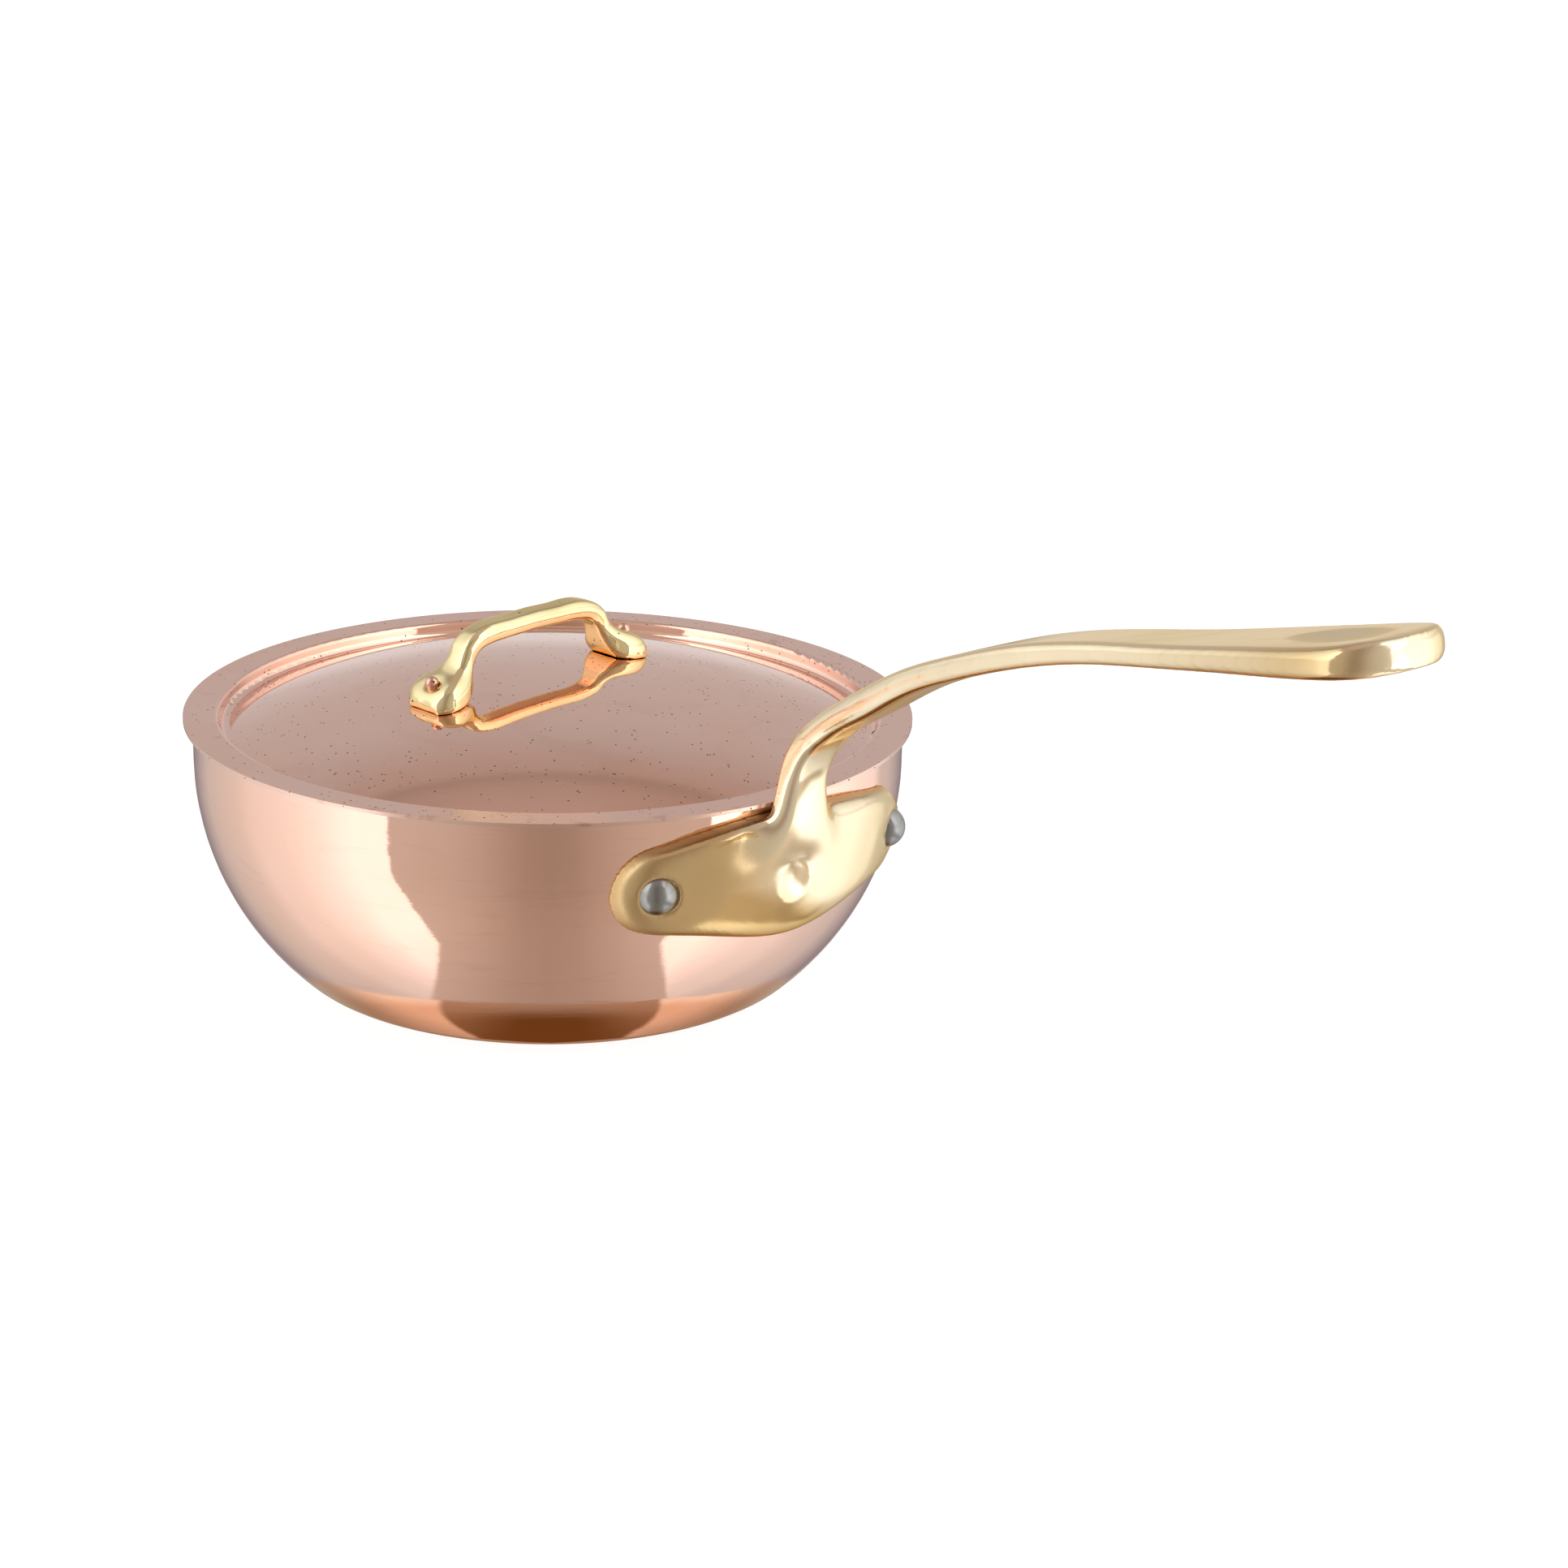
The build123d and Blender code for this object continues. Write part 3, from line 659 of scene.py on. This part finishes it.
# below: the table near the base sends back light already tinted by the copper;
# its edge is an oval in these directions, its middle a dark lens
across = nodes.math("DIVIDE", nodes.math("ADD", front, OVAL_FRONT), OVAL_HALF_LENGTH)
beside = nodes.math("DIVIDE", side, OVAL_HALF_WIDTH)
oval = nodes.length(across, beside)
lens_edge = nodes.math("MULTIPLY_ADD", nodes.product(front, front), LENS_NARROWING, LENS_HALF_WIDTH)
in_glow = nodes.ramp(nodes.math("SUBTRACT", side, lens_edge), -LENS_BLUR, LENS_BLUR)
lens = nodes.mix(nodes.ramp(oval, 0.55, 1.0), LENS_MIDDLE, LENS_RIM)
lens = nodes.mix(nodes.ramp(side, 0.06, 0.30, 0.0, 0.45), lens, LENS_SIDE)
glow = nodes.mix(nodes.ramp(oval, 0.80, 1.0), GLOW_INNER, GLOW_OUTER)
glow = nodes.scale(glow, nodes.ramp(front, -0.70, -0.30, 0.45, 1.0))
near_base = nodes.product(nodes.ramp(oval, 1.01, 0.97), nodes.ramp(rise, -0.30, -0.50))
studio = nodes.mix(near_base, studio, nodes.mix(in_glow, lens, glow))

# above and behind: a grey backdrop, darker and warmer higher up
backdrop_tint = nodes.mix(nodes.ramp(slant, 0.42, 0.58), BACKDROP_TINT, BACKDROP_HIGH_TINT)
backdrop = nodes.scale(backdrop_tint, nodes.curve(slant, BACKDROP_LIGHT))
behind = nodes.product(nodes.ramp(around, *BEHIND_SPAN), nodes.ramp(rise, -0.22, -0.10))
overhead = nodes.ramp(height, *OVERHEAD_SPAN)
studio = nodes.mix(nodes.math("MAXIMUM", behind, overhead), studio, backdrop)

# the camera itself sees a white page
light = nodes.add("ShaderNodeBackground")
nodes.put(light.inputs["Color"], studio)
page = nodes.add("ShaderNodeBackground")
page.inputs["Color"].default_value = WHITE
page.inputs["Strength"].default_value = PAGE_STRENGTH
seen = nodes.add("ShaderNodeLightPath").outputs["Is Camera Ray"]
chosen = nodes.add("ShaderNodeMixShader")
nodes.put(chosen.inputs[0], seen)
nodes.put(chosen.inputs[1], light.outputs[0])
nodes.put(chosen.inputs[2], page.outputs[0])
output = nodes.add("ShaderNodeOutputWorld")
nodes.put(output.inputs["Surface"], chosen.outputs[0])

bpy.context.scene.view_settings.view_transform = "Standard"
bpy.context.scene.cycles.use_denoising = True
